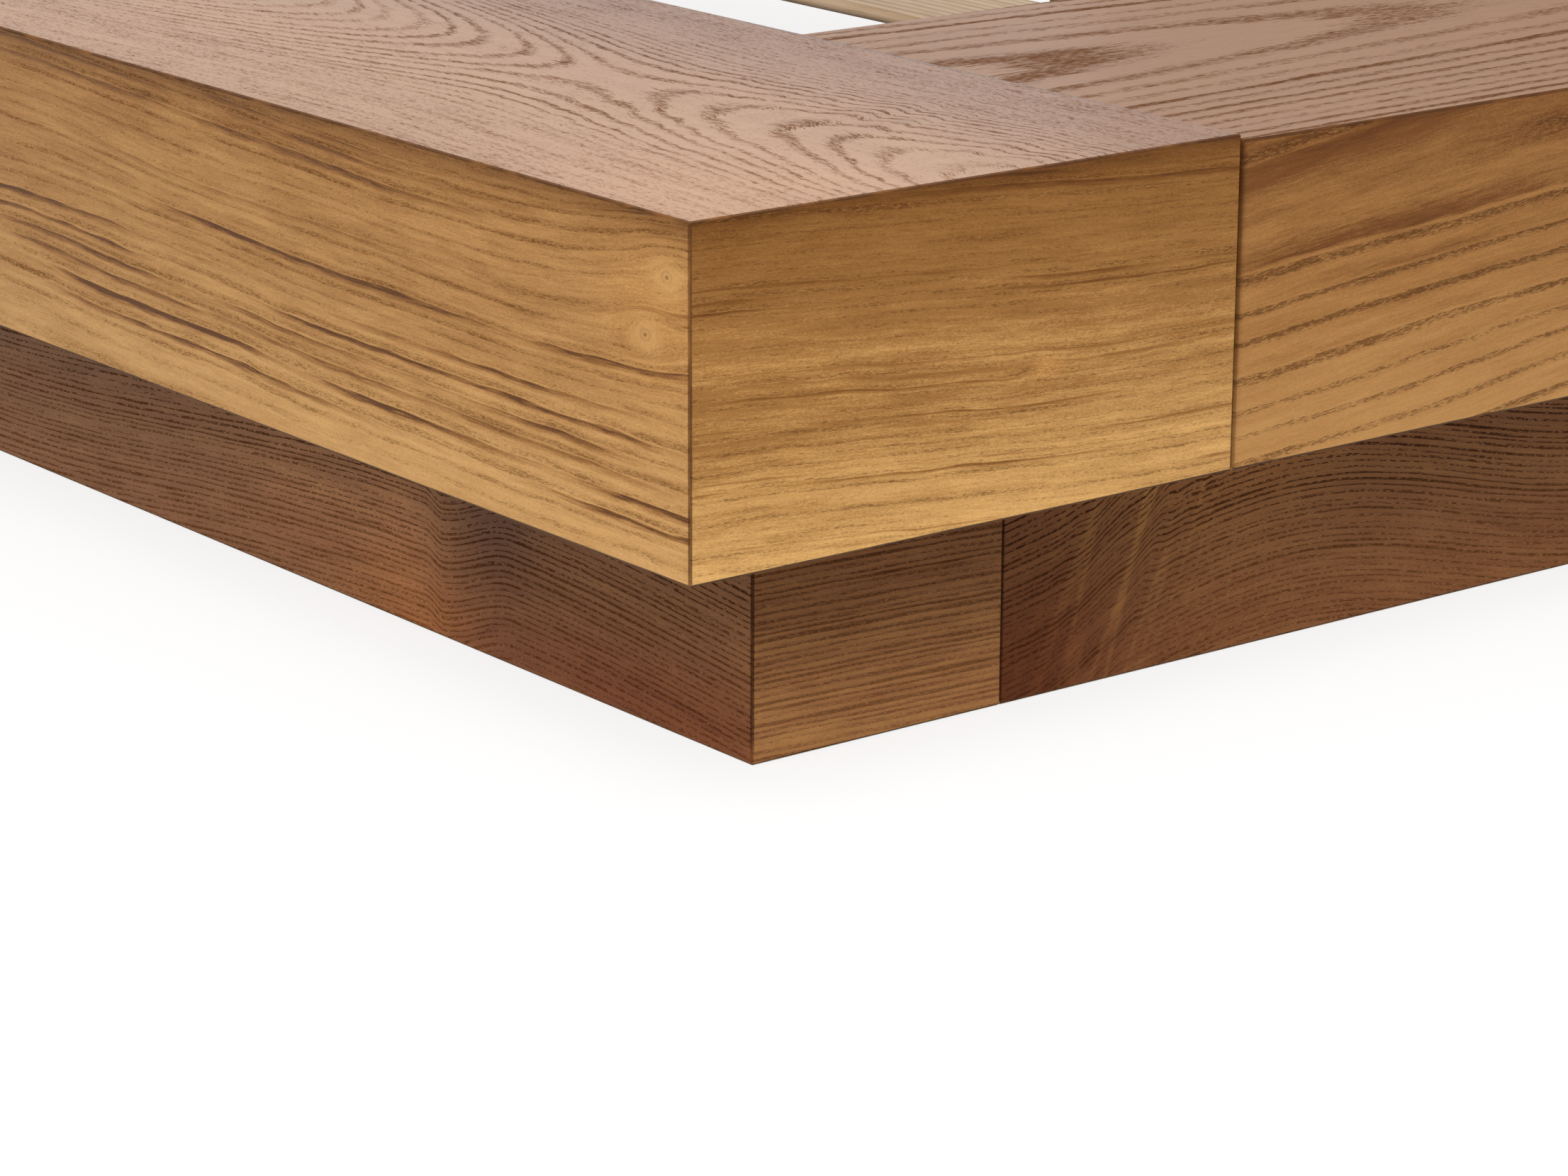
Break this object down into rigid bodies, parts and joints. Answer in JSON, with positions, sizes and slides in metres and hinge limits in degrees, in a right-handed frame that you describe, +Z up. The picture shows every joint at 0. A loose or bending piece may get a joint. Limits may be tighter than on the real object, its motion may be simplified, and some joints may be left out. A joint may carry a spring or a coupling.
{
  "type": "platform bed frame",
  "caption": "Low platform bed frame in veneered wood: wide mitred box rails around a mattress well, recessed plinth, lift-out slat mats, centre support and leaning headboard.",
  "frame": {"origin": "bottom centre of the whole bed, on the floor", "axes": "+X across the bed to its right-hand rail, +Y from foot to head, +Z up"},
  "size_m": [2.456, 2.467, 0.732],
  "materials": {
    "rail_veneer": "satin lacquered veneer",
    "plinth_veneer": "satin lacquered veneer",
    "headboard_veneer": "satin lacquered veneer",
    "carcass_board": "raw board",
    "raw_slat": "raw sawn wood",
    "support_timber": "planed timber",
    "dowel_wood": "turned hardwood",
    "webbing": "woven webbing",
    "bracket_steel": "black powder coat",
    "fastener_steel": "zinc plated",
    "foot_plastic": "moulded"
  },
  "bodies": {
    "frame": {"beam_hangers": "bracket_steel", "bracket_bolts": "fastener_steel", "centre_beam": "support_timber", "centre_legs": "support_timber", "corner_brackets": "bracket_steel", "foot_rail_back": "rail_veneer", "foot_rail_bottom": "rail_veneer", "foot_rail_ends": "rail_veneer", "foot_rail_front": "rail_veneer", "foot_rail_ribs": "carcass_board", "foot_rail_top": "rail_veneer", "hanger_screws": "fastener_steel", "head_rail_back": "rail_veneer", "head_rail_bottom": "rail_veneer", "head_rail_ends": "rail_veneer", "head_rail_front": "rail_veneer", "head_rail_ribs": "carcass_board", "head_rail_top": "rail_veneer", "headboard_back": "headboard_veneer", "headboard_core": "carcass_board", "headboard_front": "headboard_veneer", "headboard_gussets": "support_timber", "headboard_lippings": "headboard_veneer", "headboard_screws": "fastener_steel", "ledger_screws": "fastener_steel", "ledgers": "support_timber", "left_rail_bottom": "rail_veneer", "left_rail_inner": "rail_veneer", "left_rail_outer": "rail_veneer", "left_rail_ribs": "carcass_board", "left_rail_top": "rail_veneer", "leg_bolts": "fastener_steel", "leg_inserts": "fastener_steel", "plinth_dowels": "dowel_wood", "plinth_foot_carcass": "carcass_board", "plinth_foot_ends": "plinth_veneer", "plinth_foot_face": "plinth_veneer", "plinth_head_carcass": "carcass_board", "plinth_head_ends": "plinth_veneer", "plinth_head_face": "plinth_veneer", "plinth_left_carcass": "carcass_board", "plinth_left_face": "plinth_veneer", "plinth_right_carcass": "carcass_board", "plinth_right_face": "plinth_veneer", "rail_dowels": "dowel_wood", "right_rail_bottom": "rail_veneer", "right_rail_inner": "rail_veneer", "right_rail_outer": "rail_veneer", "right_rail_ribs": "carcass_board", "right_rail_top": "rail_veneer"},
    "slat_mat_left": {"slats_left": "raw_slat", "straps_left": "webbing", "staples_left": "fastener_steel"},
    "slat_mat_right": {"slats_right": "raw_slat", "straps_right": "webbing", "staples_right": "fastener_steel"},
    "foot_front": {"levelling_foot_front": "foot_plastic"},
    "foot_middle": {"levelling_foot_middle": "foot_plastic"},
    "foot_rear": {"levelling_foot_rear": "foot_plastic"}
  },
  "joints": [
    {"name": "slat_mat_left_lift", "type": "slide", "parent": "frame", "child": "slat_mat_left", "axis": [0, 0, 1], "range_m": [0, 0.25]},
    {"name": "slat_mat_right_lift", "type": "slide", "parent": "frame", "child": "slat_mat_right", "axis": [0, 0, 1], "range_m": [0, 0.25]},
    {"name": "foot_front_level", "type": "slide", "parent": "frame", "child": "foot_front", "axis": [0, 0, 1], "range_m": [-0.012, 0.01]},
    {"name": "foot_middle_level", "type": "slide", "parent": "frame", "child": "foot_middle", "axis": [0, 0, 1], "range_m": [-0.012, 0.01]},
    {"name": "foot_rear_level", "type": "slide", "parent": "frame", "child": "foot_rear", "axis": [0, 0, 1], "range_m": [-0.012, 0.01]}
  ]
}
